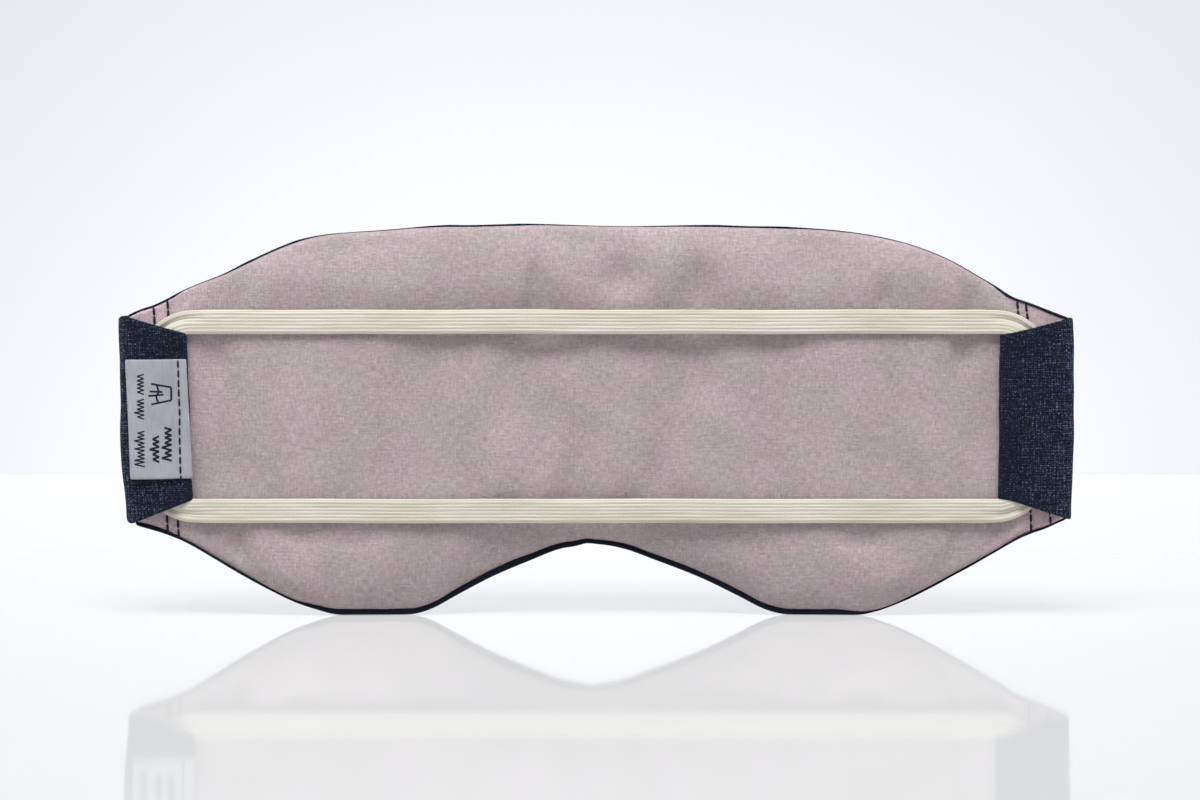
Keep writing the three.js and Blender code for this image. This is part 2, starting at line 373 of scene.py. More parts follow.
def sampler(field):
    """Reads a field on the simulation's grid at any x and z."""
    def read(x, z):
        low, high = sim_rims(x)
        a = np.clip((x + SIM_HALF) / (2 * SIM_HALF), 0, 1) * (SIM_COLUMNS - 1.001)
        b = np.clip((z - low) / (high - low), 0, 1) * (SIM_ROWS - 1.001)
        i, j = a.astype(int), b.astype(int)
        u, v = a - i, b - j
        near = field[i, j] * (1 - u) + field[i + 1, j] * u
        far = field[i, j + 1] * (1 - u) + field[i + 1, j + 1] * u
        return near * (1 - v) + far * v
    return read


# Making pieces

def grid_faces(index):
    """Quads over a grid of vertex numbers. They face -Y when it runs along +X and then +Z."""
    corners = [index[:-1, :-1], index[1:, :-1], index[1:, 1:], index[:-1, 1:]]
    return np.stack(corners, -1).reshape(-1, 4).tolist()


def make_piece(name, points, faces, material, uv=None, smooth=True, sharp=False):
    """A mesh piece from points in millimetres. Its square edges may stay sharp."""
    mesh = new_mesh(name, points, faces)
    mesh.materials.append(material)
    mesh.polygons.foreach_set("use_smooth", [smooth] * len(faces))
    if sharp:
        mesh.set_sharp_from_angle(angle=math.radians(60))
    if uv is not None:
        layer = mesh.uv_layers.new(name="cloth_mm")
        corner_points = np.empty(len(mesh.loops), int)
        mesh.loops.foreach_get("vertex_index", corner_points)
        layer.data.foreach_set("uv", np.asarray(uv, float)[corner_points].ravel())
    mesh.update()
    return add_object(name, mesh)


def normals(points):
    """Unit normals over a grid of points, facing -Y when it runs along +X and then +Z."""
    across = np.cross(np.gradient(points, axis=0), np.gradient(points, axis=1))
    return across / np.maximum(np.linalg.norm(across, axis=-1, keepdims=True), 1e-9)


def shell_parts(outer, inner, first=0):
    """Points and faces of a closed thin form between two grids of points, the outer one facing out."""
    size = outer.shape[:2]
    front, back = np.arange(2 * size[0] * size[1]).reshape(2, *size) + first
    faces = grid_faces(front) + grid_faces(back[:, ::-1])
    for strip in (
        np.stack([back[:, 0], front[:, 0]], 1), np.stack([front[:, -1], back[:, -1]], 1),
        np.stack([front[0], back[0]], 1), np.stack([back[-1], front[-1]], 1),
    ):
        faces += grid_faces(strip)
    return np.concatenate([outer.reshape(-1, 3), inner.reshape(-1, 3)]), faces


def shell(name, outer, inner, uv, material, sharp=False):
    """A piece between two grids of points. Both faces have the same flat coordinates."""
    points, faces = shell_parts(outer, inner)
    uv = np.concatenate([uv.reshape(-1, 2)] * 2)
    return make_piece(name, points, faces, material, uv, sharp=sharp)


def cloth_shell(name, outer, thick, uv, material):
    """A cloth of even thickness behind its outer face."""
    return shell(name, outer, outer - normals(outer) * thick, uv, material)


def refine(piece):
    """Rounds a piece by subdivision, applied so that its mesh is final."""
    modifier = piece.modifiers.new("rounding", "SUBSURF")
    modifier.levels = modifier.render_levels = 1
    apply_modifier(piece, "rounding")
    return piece


def surface_y(piece, x, z, out=-1):
    """Where a piece's surface is, looking at it along Y from the -Y side, or from the +Y side if out is 1.
    A place that the piece doesn't cover takes the mean of the others."""
    vertices = [v.co / MM for v in piece.data.vertices]
    tree = BVHTree.FromPolygons(vertices, [tuple(face.vertices) for face in piece.data.polygons])
    y = np.full(np.shape(x), np.nan)
    for place in np.ndindex(y.shape):
        hit = tree.ray_cast(Vector((x[place], out * 50, z[place])), Vector((0, -out, 0)))[0]
        if hit is not None:
            y[place] = hit.y
    return np.where(np.isnan(y), np.nanmean(y), y)


def capsules(name, line, outward, pitch, stitch, radius, material):
    """A row of stitches along a line of points: short threads that dive into the cloth at both ends."""
    along = distances(line)
    rings, sides = 7, 8
    points, faces = [], []
    count = round(along[-1] / pitch)
    pitch = along[-1] / count
    spare = (pitch - stitch) / 2
    for k in range(count):
        places = spare + k * pitch + np.linspace(0, stitch, rings)
        centre = np.stack([np.interp(places, along, line[:, a]) for a in range(3)], -1)
        t = np.linspace(-1, 1, rings)
        rise = radius * (1 - t**2) ** 0.5 - 0.35 * radius * np.abs(t) ** 3
        centre = centre + outward * rise[:, None] * 0.6
        forward = centre[-1] - centre[0]
        forward /= np.linalg.norm(forward)
        side = np.cross(forward, outward)
        girth = radius * (0.45 + 0.55 * (1 - t**2) ** 0.5)
        base = len(points)
        for c, g in zip(centre, girth):
            for s in range(sides):
                angle = 2 * math.pi * s / sides
                points.append(c + g * (math.cos(angle) * side + math.sin(angle) * outward))
        ring = np.arange(rings * sides).reshape(rings, sides) + base
        loop = np.concatenate([ring, ring[:, :1]], 1)
        faces += [*grid_faces(loop), ring[0].tolist(), ring[-1][::-1].tolist()]
    return make_piece(name, points, faces, material)


# Materials

class Nodes:
    """A new material, and short ways to add and join its shader nodes."""

    def __init__(self, name):
        self.material = bpy.data.materials.new(name)
        self.material.use_nodes = True
        self.tree = self.material.node_tree
        self.shader = self.tree.nodes["Principled BSDF"]

    def add(self, kind, **settings):
        node = self.tree.nodes.new(kind)
        for key, value in settings.items():
            setattr(node, key, value)
        return node

    def link(self, source, target):
        self.tree.links.new(source, target)

    def put(self, value, socket):
        if isinstance(value, bpy.types.NodeSocket):
            self.link(value, socket)
        else:
            socket.default_value = value

    def surface(self, sockets):
        """Links or sets the shader's own sockets, and returns the finished material."""
        for name, value in sockets.items():
            self.put(value, self.shader.inputs[name])
        return self.material

    def maths(self, operation, *values, clamp=False):
        node = self.add("ShaderNodeMath", operation=operation, use_clamp=clamp)
        for value, socket in zip(values, node.inputs):
            self.put(value, socket)
        return node.outputs[0]

    def plus(self, a, b, clamp=False):
        return self.maths("ADD", a, b, clamp=clamp)

    def times(self, a, b, clamp=False):
        return self.maths("MULTIPLY", a, b, clamp=clamp)

    def scaled(self, value, factor, offset, clamp=False):
        """The value times a factor, and then moved by an offset."""
        return self.maths("MULTIPLY_ADD", value, factor, offset, clamp=clamp)

    def either(self, share, a, b):
        """a where the share is 1, b where it is 0, and a mix of both between them."""
        rest = self.maths("SUBTRACT", 1.0, share)
        return self.plus(self.times(a, share), self.times(b, rest))

    def ribs(self, value, pitch):
        """Round ribs at a pitch, from 0 in the grooves between them to 1."""
        return self.maths("ABSOLUTE", self.maths("SINE", self.times(value, math.pi / pitch)))

    def split(self, vector):
        node = self.add("ShaderNodeSeparateXYZ")
        self.link(vector, node.inputs[0])
        return tuple(node.outputs)

    def plane(self):
        """The cloth's own flat coordinates in millimetres, as (u, v, the whole vector)."""
        coordinates = self.add("ShaderNodeUVMap", uv_map="cloth_mm").outputs[0]
        return (*self.split(coordinates)[:2], coordinates)

    def place(self):
        """The place on the object, in metres."""
        return self.add("ShaderNodeTexCoord").outputs["Object"]

    def noise(self, vector, scale, detail=2.0, roughness=0.5):
        node = self.add("ShaderNodeTexNoise")
        self.link(vector, node.inputs["Vector"])
        node.inputs["Scale"].default_value = scale
        node.inputs["Detail"].default_value = detail
        node.inputs["Roughness"].default_value = roughness
        return node.outputs["Fac"]

    def streaks(self, u, v, along_u, along_v, detail=2.0, roughness=0.5):
        """Noise whose cells are along_u by along_v millimetres."""
        node = self.add("ShaderNodeCombineXYZ")
        self.link(self.maths("DIVIDE", u, along_u), node.inputs[0])
        self.link(self.maths("DIVIDE", v, along_v), node.inputs[1])
        return self.noise(node.outputs[0], 1.0, detail, roughness)

    def ramp(self, factor, stops):
        """A colour ramp. Each stop is its position and a colour, or a number for a grey."""
        node = self.add("ShaderNodeValToRGB")
        elements = node.color_ramp.elements
        while len(elements) < len(stops):
            elements.new(0.5)
        for element, (position, colour) in zip(elements, stops):
            element.position = position
            element.color = (*(colour if isinstance(colour, tuple) else (colour,) * 3), 1)
        self.link(factor, node.inputs[0])
        return node.outputs[0]

    def toned(self, colour, tones):
        """A colour times each tone in turn. A tone is a factor and the stops of its ramp."""
        for factor, *stops in tones:
            node = self.add("ShaderNodeMix", data_type="RGBA", blend_type="MULTIPLY")
            node.inputs[0].default_value = 1.0
            self.link(colour, node.inputs[6])
            self.link(self.ramp(factor, stops), node.inputs[7])
            colour = node.outputs[2]
        return colour

    def bump(self, height, distance, strength):
        node = self.add("ShaderNodeBump")
        node.inputs["Strength"].default_value = strength
        node.inputs["Distance"].default_value = distance
        self.link(height, node.inputs["Height"])
        return node.outputs[0]


def weave(n, u, v, pitch, uneven):
    """A plain weave: each yarn passes over and under its neighbours in turn. Returns how high the upper yarn
    is, from 0 in the gaps to 1, and whether it is a weft yarn, which runs along u."""
    turn = math.pi / pitch
    short, long = pitch * 2.5, pitch * 16
    drifted_u = n.scaled(n.streaks(u, v, short, long, 1), pitch * uneven, u)
    drifted_v = n.scaled(n.streaks(u, v, long, short, 1), pitch * uneven, v)
    wave_u = n.maths("SINE", n.times(drifted_u, turn))
    wave_v = n.maths("SINE", n.times(drifted_v, turn))
    weft_on_top = n.scaled(n.times(wave_u, wave_v), 4.0, 0.5, clamp=True)
    across_weft, across_warp = n.maths("ABSOLUTE", wave_v), n.maths("ABSOLUTE", wave_u)
    weft = n.times(n.maths("POWER", across_weft, 0.6), n.scaled(across_warp, 0.5, 0.5))
    warp = n.times(n.maths("POWER", across_warp, 0.6), n.scaled(across_weft, 0.5, 0.5))
    return n.either(weft_on_top, weft, warp), weft_on_top


def pink_material():
    """Fine plain cotton, its colour wandering between pink and grey, with short slubs along the weft. Its
    flat ends are made lighter: a painted highlight.
    """
    n = Nodes("pink_cotton_weave")
    u, v, plane = n.plane()
    height, over = weave(n, u, v, 0.33, 1.6)
    slubs = n.streaks(u, v, 7, 0.5)
    grain = n.noise(plane, 2.4, 2, 0.6)
    hue_patches = n.noise(plane, 0.09, 3, 0.6)
    base = n.ramp(hue_patches, [(0.38, (0.409, 0.354, 0.353)), (0.62, (0.436, 0.354, 0.377))])
    # Painted highlight: the lining is made lighter from about 95 mm out from the middle, on its flat ends
    from_middle = n.maths("DIVIDE", n.maths("ABSOLUTE", u), 120.0)
    dark_yarn = (0.34, (0.87, 0.865, 0.865))
    colour = n.toned(base, [
        (n.noise(plane, 0.06, 3), (0.35, 0.93), (0.65, 1.05)),
        (slubs, (0.35, (0.96, 0.955, 0.955)), (0.65, 1.04)),
        (n.streaks(u, v, 1.9, 0.34, 2, 0.6), dark_yarn, (0.66, 1.13)),
        (n.streaks(u, v, 0.34, 1.9, 2, 0.6), dark_yarn, (0.66, 1.13)),
        (grain, (0.34, (0.86, 0.85, 0.85)), (0.66, 1.14)),
        (over, (0.0, 0.9), (1.0, 1.1)),
        (height, (0.1, (0.84, 0.83, 0.83)), (0.7, 1.04)),
        (from_middle, (0.79, 1.0), (0.86, (1.25, 1.17, 1.22))),
    ])
    relief = n.plus(height, n.times(n.plus(slubs, grain), 0.8))
    return n.surface({
        "Base Color": colour, "Normal": n.bump(relief, 0.00007, 0.6), "Roughness": n.scaled(over, 0.08, 0.86),
        "Specular IOR Level": 0.2, "Sheen Weight": 0.2, "Sheen Roughness": 0.5,
    })


def navy_material(name, along, painted_shading):
    """Coarse plain cotton in near-black blue, its yarns uneven, and a little worn and paler on their crowns.
    Painted light and shade change along the cloth's u or v, as (place in mm, how light): painted shade on the
    front cloth's lower lip, which faces down, and at the casing's seam and hem, and a painted highlight at
    the casing's fold."""
    n = Nodes(name)
    u, v, plane = n.plane()
    height, over = weave(n, u, v, 0.5, 2.2)
    weft, warp = n.streaks(u, v, 3.5, 0.5, 3, 0.65), n.streaks(u, v, 0.5, 3.5, 3, 0.65)
    fleck = n.noise(plane, 1.7, 3, 0.75)
    patches = n.noise(plane, 0.09, 3, 0.55)
    yarn = n.either(over, weft, warp)
    light = n.times(height, n.scaled(yarn, 2.6, -0.85))
    light = n.plus(light, n.scaled(fleck, 1.8, -0.9), clamp=True)
    light = n.times(light, n.scaled(patches, 0.9, 0.55), clamp=True)
    # Painted light and shade: the colour is made darker or lighter along the cloth, standing in for shade and
    # highlight
    reach = painted_shading[-1][0]
    place = n.maths("DIVIDE", {"u": u, "v": v}[along], reach)
    painted_tone = n.ramp(place, [(at / reach, amount) for at, amount in painted_shading])
    light = n.times(light, painted_tone, clamp=True)
    blues = [(0.0, (0.002, 0.004, 0.01)), (0.4, (0.0062, 0.0112, 0.0285)), (0.95, (0.108, 0.146, 0.236))]
    relief = n.plus(height, n.times(yarn, 0.9))
    return n.surface({
        "Base Color": n.ramp(light, blues), "Normal": n.bump(relief, 0.00022, 0.8),
        "Roughness": n.scaled(over, 0.1, 0.82), "Specular IOR Level": 0.2,
        "Sheen Weight": 0.1, "Sheen Roughness": 0.4, "Sheen Tint": (0.55, 0.68, 1.0, 1),
    })


def elastic_material():
    """Braided elastic: fine plaits slanting both ways, painted shade in the groove beside each cord, and
    threads along it.
    """
    n = Nodes("cream_braided_elastic")
    u, v, _ = n.plane()
    slant, turn = n.times(v, 0.8), 2 * math.pi / 0.62
    braid = n.maths("SINE", n.times(n.plus(u, slant), turn))
    counter = n.maths("SINE", n.times(n.maths("SUBTRACT", u, slant), turn))
    plait = n.maths("MAXIMUM", braid, counter)
    cords = n.ribs(v, ELASTIC_WIDTH / RIBS)
    threads = n.streaks(u, v, 14, 0.35, 2, 0.6)
    base = n.ramp(n.streaks(u, v, 30, 8), [(0.35, (0.625, 0.59, 0.50)), (0.65, (0.69, 0.655, 0.58))])
    colour = n.toned(base, [
        # Painted shade: the colour darkens in the grooves between the cords
        (cords, (0.0, (0.7, 0.7, 0.63)), (0.24, 1.0)),
        (threads, (0.35, (0.88, 0.89, 0.83)), (0.65, (1.08, 1.07, 1.08))),
    ])
    relief = n.plus(n.times(plait, 0.35), threads)
    return n.surface({
        "Base Color": colour, "Normal": n.bump(relief, 0.00012, 0.5),
        "Roughness": n.scaled(threads, 0.2, 0.55), "Specular IOR Level": 0.3, "Sheen Weight": 0.2,
    })


def satin_material():
    """Satin tape: long shiny floats along it and fine picks across it."""
    n = Nodes("grey_satin_tape")
    u, v, plane = n.plane()
    floats = n.streaks(u, v, 0.22, 3.5, 2, 0.6)
    base = n.ramp(n.noise(plane, 0.12), [(0.35, (0.335, 0.345, 0.375)), (0.65, (0.385, 0.395, 0.425))])
    return n.surface({
        "Base Color": n.toned(base, [(floats, (0.3, 0.88), (0.7, 1.1))]),
        "Normal": n.bump(n.plus(floats, n.ribs(v, 0.3)), 0.00004, 0.5),
        "Roughness": n.scaled(floats, 0.2, 0.42), "Anisotropic": 0.5, "Specular IOR Level": 0.45,
    })


def thread_material(name, dark, light):
    """Twisted sewing thread: fine slanting plies over a slightly uneven colour."""
    n = Nodes(name)
    place = n.place()
    x, y, z = n.split(place)
    plies = n.ribs(n.plus(n.plus(x, y), z), 0.00025)
    uneven = n.noise(place, 900, 2, 0.6)
    tone = n.times(n.plus(plies, uneven), 0.5)
    return n.surface({
        "Base Color": n.ramp(tone, [(0.2, dark), (0.8, light)]), "Normal": n.bump(plies, 0.00006, 0.6),
        "Roughness": n.scaled(uneven, 0.2, 0.6), "Specular IOR Level": 0.15,
    })


def wool_material():
    """Loose fibres in soft clumps."""
    n = Nodes("wool_wadding")
    fibres, clumps = n.noise(n.place(), 700, 5, 0.7), n.noise(n.place(), 90, 3)
    mixed = n.times(n.plus(fibres, clumps), 0.5)
    return n.surface({
        "Base Color": n.ramp(mixed, [(0.35, (0.55, 0.5, 0.4)), (0.65, (0.86, 0.82, 0.73))]),
        "Normal": n.bump(fibres, 0.0006, 0.8), "Roughness": n.scaled(clumps, 0.1, 0.88), "Sheen Weight": 0.4,
    })


def floor_material():
    """A table of glossy white acrylic, lit from below as a photographer's light table is."""
    n = Nodes("pale_glossy_table")
    smear = n.noise(n.place(), 14, 3)
    return n.surface({
        "Base Color": n.ramp(smear, [(0.3, (0.25, 0.251, 0.254)), (0.7, (0.26, 0.261, 0.264))]),
        "Emission Color": (0.98, 0.99, 1.0, 1), "Emission Strength": 0.445,
        "Roughness": n.scaled(smear, 0.03, 0.04), "IOR": 1.185,
    })


def wall_material():
    n = Nodes("pale_wall")
    patches = n.noise(n.place(), 2)
    shades = [(0.3, (0.86, 0.87, 0.9)), (0.7, (0.88, 0.89, 0.92))]
    return n.surface({"Base Color": n.ramp(patches, shades), "Roughness": 0.9})


RIBS = 7
PINK = pink_material()
# Painted shade: the front cloth is near black along its lower lip, which faces down
NAVY = navy_material("navy_cotton_weave", "v", [(0, 0.1), (3.6, 0.25), (5.5, 0.9), (12, 1.0), (60, 1.0)])
# Painted shade at the casing's seam between the panels and at its hem, and a painted highlight at its fold
CASING_PAINTED_SHADING = [(0, 0.7), (5, 0.9), (9, 1.5), (14, 1.1), (21, 1.0), (27, 0.85), (34, 0.8)]
CASING_NAVY = navy_material("navy_cotton_casing", "u", CASING_PAINTED_SHADING)
CREAM = elastic_material()
SATIN = satin_material()
INK = thread_material("dark_blue_print", (0.008, 0.01, 0.022), (0.016, 0.02, 0.04))
THREAD = thread_material("near_black_thread", (0.005, 0.006, 0.012), (0.03, 0.033, 0.05))
WOOL = wool_material()


# The pad

FACE_INSETS = np.array([0.45, 1.0, 1.9, 3.2, 5.0, 7.2, 9.8, 12.8])
MIDDLE_ROWS = 26
FOLD_GAIN = 0.75
LEAST_RISE = 0.65  # a hollow never brings the lining nearer than this to the middle surface


def column_places(half, step=1.55):
    return np.linspace(-half, half, 2 * round(half / step) + 1)


def face_rows(low, high):
    """Heights of rows between two rims, close together near both."""
    low, high = low[:, None], high[:, None]
    ts = np.linspace(0, 1, MIDDLE_ROWS + 2)[1:-1]
    inner_low, inner_high = low + FACE_INSETS[-1], high - FACE_INSETS[-1]
    middle = inner_low + (inner_high - inner_low) * ts
    return np.concatenate([low + FACE_INSETS, middle, high - FACE_INSETS[::-1]], 1)


class Pad:
    """The pad's two faces as functions of x and z, in millimetres."""

    def __init__(self, back_folds, front_folds):
        self.back_folds, self.front_folds = sampler(back_folds), sampler(front_folds)

    def inset(self, x, z):
        """How far a place is from the rim, which runs aslant at the ends and so is nearer there."""
        upright = np.maximum(np.minimum(z - bottom_at(x), top_at(x) - z), 0)
        return upright * np.where(np.abs(x) < 66, 1, 0.86)

    def back(self, x, z, seam_inset=None):
        """The lining's face. Near its own seam it rises out from under the navy lip."""
        rim_half, tuck = RIM_HALF, 0
        inset = self.inset(x, z)
        if seam_inset is not None:
            from_seam = np.maximum(seam_inset, 0)
            inset = np.minimum(inset, from_seam * 0.9)
            rim_half = 1.3
            tuck = 0.7 * np.exp(-from_seam / 0.5)
        rise = rim_half + (BACK_PUFF - rim_half) * fullness(x, inset) - tuck
        folds = FOLD_GAIN * np.clip(self.back_folds(x, z), -1.2, 1.2)
        y = np.maximum(np.maximum(middle_y(x) - rise, PAD_LIMIT_Y) - folds, PAD_LIMIT_Y - 0.1)
        pressed = hollows(x, z) + strap_hollows(x, z) * fullness(x, inset)
        pressed = pressed + row_grooves(x, z) + end_slope(x, z)
        return np.where(rise > LEAST_RISE, np.minimum(y + pressed, middle_y(x) - LEAST_RISE), y)

    def front(self, x, z):
        """The front cloth's face."""
        rise = RIM_HALF + (FRONT_PUFF - RIM_HALF) * fullness(x, self.inset(x, z))
        folds = FOLD_GAIN * np.clip(self.front_folds(x, z), -1, 1)
        return middle_y(x) + rise + folds - row_grooves(x, z)


def grid(xs, z, y):
    return np.stack([columns(xs, z.shape[1]), y, z], -1)


def make_lining(pad):
    """The lining, with its lower edge tucked under the navy lip."""
    xs = column_places(111.8)
    covered = 0.4 * np.maximum(upper_lip(xs), 0.1)
    low, high = bottom_at(xs) + lower_lip(xs), top_at(xs) - upper_lip(xs)
    under_lip = np.minimum(lower_lip(xs) - 0.08, 0.75)
    z = face_rows(low - 0.6 * under_lip, high + covered)
    x = columns(xs, z.shape[1])
    seam = np.minimum(z - low[:, None], high[:, None] - z)
    y = pad.back(x, z, seam)
    tucked = middle_y(xs)[:, None]
    z = np.concatenate([(low - under_lip)[:, None], z, (high + 1.5 * covered)[:, None]], 1)
    points = grid(xs, z, np.concatenate([tucked - 0.35, y, tucked - 0.1], 1))
    uv = points[..., [0, 2]].copy()
    piece = refine(cloth_shell("back_panel_lining", lean(points), LINING_THICK, uv, PINK))
    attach(piece, "mask")
    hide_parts("back_panel")
    return piece


def rim_roll(xs, rim_z, up, lip, girth):
    """Points where the front cloth rolls round a rim, from the seam on the lining's side to the front face.
    Each step is how far it is below the lip's edge, in lip widths, and how far it stands out."""
    steps = np.array([(1.5, 0.25), (1.05, 0.95), (0.72, 1.3), (0.36, 1.32), (0.08, 1.0), (0, 0.45)])
    far = np.array([(0, -0.3), (0.2, -0.95), (0.75, -1.45)])
    far = np.repeat(far[None], len(xs), 0)
    across = np.concatenate([lip[:, None] * steps[:, 0] + 0.05, far[..., 0]], 1)
    out = np.concatenate([girth[:, None] * steps[:, 1], far[..., 1]], 1)
    return middle_y(xs)[:, None] - out, rim_z[:, None] + (across if up else -across)


def make_front(pad):
    """The front cloth, which rolls over both rims and shows as a lip beside the lining."""
    xs = column_places(112.0)
    low, high = bottom_at(xs), top_at(xs)
    face_z = face_rows(low + 0.9, high - 0.9)
    lip = lower_lip(xs)
    low_y, low_z = rim_roll(xs, low, True, lip, 0.4 + 0.6 * smoothstep(lip, 0.15, 0.6))
    shown = np.maximum(upper_lip(xs), 0)
    high_y, high_z = rim_roll(xs, high, False, shown + 0.1, 0.33 + 0.45 * smoothstep(shown, 0.1, 0.3))
    z = np.concatenate([low_z, face_z, high_z[:, ::-1]], 1)
    y = np.concatenate([low_y, pad.front(columns(xs, face_z.shape[1]), face_z), high_y[:, ::-1]], 1)
    points = grid(xs, np.maximum(z, PANEL_LOW[2]), y)
    uv = np.stack([points[..., 0], distances(points, 1)], -1)
    outer = lean(points)[:, ::-1]
    piece = refine(cloth_shell("front_panel_cloth", outer, NAVY_THICK, uv[:, ::-1], NAVY))
    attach(piece, "mask")
    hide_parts("front_panel")
    return piece


WOOL_HALF = 98
WOOL_INSET = 3
WOOL_TAPER = 4  # it thins out over this much at its edges


def make_wool(pad):
    """The filling, a closed form a little inside both cloths."""
    xs = column_places(WOOL_HALF, 3.5)
    z = face_rows(bottom_at(xs) + WOOL_INSET, top_at(xs) - WOOL_INSET)
    x = columns(xs, z.shape[1])
    taper = np.minimum(np.minimum(z - z[:, :1], z[:, -1:] - z) / WOOL_TAPER, 1)
    taper = taper * np.minimum((WOOL_HALF - np.abs(x)) / WOOL_TAPER, 1)
    near = pad.back(x, z) + 1.0
    far = pad.front(x, z) - 1.1
    middle = (near + far) / 2
    half = np.maximum((far - near) / 2 * (0.25 + 0.75 * taper), 0.15)
    outer, inner = lean(grid(xs, z, middle - half)), lean(grid(xs, z, middle + half))
    piece = refine(shell("wool_wadding", outer, inner, outer[..., [0, 2]], WOOL))
    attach(piece, "mask")
    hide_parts("wool_fill")


# The casings

FOLD_OUT = {"left": 113.8, "right": 112.9}
FOLD_RADIUS = 2.35
FLAP_INNER = {"left": 97.6, "right": 95.3}
HEM_DEPTH = 3.4
CASING_THICK = 0.5
FLAP_SPAN = (97, 112.5)
FLAP_HALVES = (19.7, 23.8)  # half its height at both ends of that span
FLAP_EXTRA = {"left": (0.5, 1.9), "right": (0, 0.9)}  # and how much more, above and below, at the fold


def flap_half(out, row=1, side="right"):
    """Half the casing's height at a distance from the middle: its edges slope, the lower one more, and its
    corners are round."""
    corner = np.clip((out - 111.6) / 2.3, 0, 1)
    upper, lower = FLAP_EXTRA[side]
    extra = np.interp(out, FLAP_SPAN, (0, 1)) * np.where(row < 0, lower, upper)
    return np.interp(out, FLAP_SPAN, FLAP_HALVES) + extra - 1.1 * (1 - np.sqrt(1 - corner**2))


def casing_path(side):
    """The casing's outer face as (out, y): from between the panels, round the fold, and over to its hem."""
    root_y = middle_y(FLAT_FROM) + 0.3
    fold = FOLD_OUT[side] - FOLD_RADIUS
    path = [(105, root_y), (107.5, root_y), (109.5, root_y)]
    turns = [math.pi / 2 - math.pi * k / 8 for k in range(9)]
    path += [(fold + FOLD_RADIUS * math.cos(t), root_y + FOLD_RADIUS * (math.sin(t) - 1)) for t in turns]
    face_y = root_y - 2 * FOLD_RADIUS
    over_elastic = [
        (109.6, -0.08), (107.8, -0.12), (106.2, -0.12), (104.9, 0), (103.7, 0.4), (102.6, 0.85),
        (101.6, 1.2), (100.8, 1.42), (100.2, 1.5), (99.6, 1.42), (98.7, 1.25),
    ]
    path += [(out, face_y + dip) for out, dip in over_elastic]
    hem = [(0.7, 1.25), (0.2, 1.4), (0, 1.75), (0.05, 2.15), (0.35, 2.45), (1.1, 2.55), (HEM_DEPTH, 2.58)]
    path += [(FLAP_INNER[side] + turned, face_y + dip) for turned, dip in hem]
    return np.array(path)


def make_casing(side):
    """A cloth along the casing's path, with open mouths above and below, where the elastic runs in."""
    path = casing_path(side)
    rows = np.linspace(-1, 1, 33)
    arch = np.cos(rows * math.pi / 2)
    out, y = columns(path[:, 0], len(rows)), columns(path[:, 1], len(rows))
    z = MIDDLE_Z + rows * flap_half(out, rows, side)
    over = y < middle_y(FLAT_FROM) - FOLD_RADIUS
    high = np.abs(z - MIDDLE_Z)
    mouth = smoothstep(high, 15.5, 18.5) * smoothstep(out, 98, 100.4) * (1 - smoothstep(out, 103, 105))
    loose = smoothstep(out, 101, 105)
    waves = wander(z, 11 + SIDES[side], (17, 9, 5), 0.28)
    y = y - over * (0.8 * mouth + loose * (0.15 * arch + waves) + 0.35 * (1 - loose) * waves)
    bulge = {"left": 0.8 * bump(z, 41, 12), "right": 0.45 * arch}[side]
    edge = wander(z, 17 + SIDES[side], (23, 11), 0.15) + bulge * smoothstep(out, 99, 105)
    points = np.stack([(out + edge) * SIDES[side], y, z], -1)
    along = distances(path)
    uv = np.stack([columns(along, len(rows)), z], -1)
    if side == "left":
        points = lean(points)
    else:
        points, uv = points[:, ::-1], uv[:, ::-1]
    piece = refine(cloth_shell(f"{side}_casing_cloth", points, CASING_THICK, uv, CASING_NAVY))
    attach(piece, "mask")
    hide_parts(f"{side}_casing")
    return piece


# Stitch rows

STITCH = {"pitch": 2.2, "stitch": 2.0, "radius": 0.3}
HEM_ROW_OUT = 100
HEM_ROW_HALF = 18.2
LABEL_SLANT = 0.018  # the left hem row leans this much less than its casing, and the label's sewn edge more


def place_row(name, line, out, replaced, **size):
    """A stitch row on the back if out is -1, or on the front if it is 1."""
    piece = capsules(name, line, np.array([0.0, out, 0.0]), material=THREAD, **{**STITCH, **size})
    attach(piece, "mask")
    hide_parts(replaced)


def lean_line(x, z):
    """A line's x where the left end leans."""
    return lean(np.stack([x, 0 * x, z], -1))[:, 0]


def make_end_rows(side, lining, front):
    """Rows of stitches through the pad, with needle thread on the lining and bobbin thread on the front."""
    for place in END_ROWS[side]:
        bottom_x, top_x = (row_x(side, place, z) for z in ROW_SPAN)
        low = bottom_at(bottom_x) + 0.8 * lower_lip(bottom_x)
        high = top_at(top_x) - np.maximum(upper_lip(top_x), 0)
        z = np.linspace(low, high, 60)
        x = lean_line(row_x(side, place, z) + wander(z, 23, (19, 8), 0.1), z)
        for kind, cloth, out in (("stitch", lining, -1), ("bobbin", front, 1)):
            line = np.stack([x, surface_y(cloth, x, z, out), z], -1)
            place_row(f"{side}_end_{kind}_row_{place}", line, out, f"{side}_end_{kind}_{place}")


def make_hem_row(side, casing, label):
    """The row that holds a casing's hem down, over the label where there is one."""
    z = MIDDLE_Z + np.linspace(-HEM_ROW_HALF, HEM_ROW_HALF, 90)
    x = SIDES[side] * HEM_ROW_OUT + wander(z, 29 + SIDES[side], (21, 9), 0.12)
    if side == "left":
        x = lean_line(x + LABEL_SLANT * (z - MIDDLE_Z), z)
    y = surface_y(casing, x, z)
    if label is not None:
        covered = (z > MARGIN_LOW[2]) & (z < MARGIN_HIGH[2])
        y = np.where(covered, np.minimum(y, surface_y(label, x, z)), y)
    line = np.stack([x, y, z], -1)
    place_row(f"{side}_casing_row", line, -1, f"{side}_casing_stitch", pitch=2.35, stitch=1.9, radius=0.24)


# The elastic

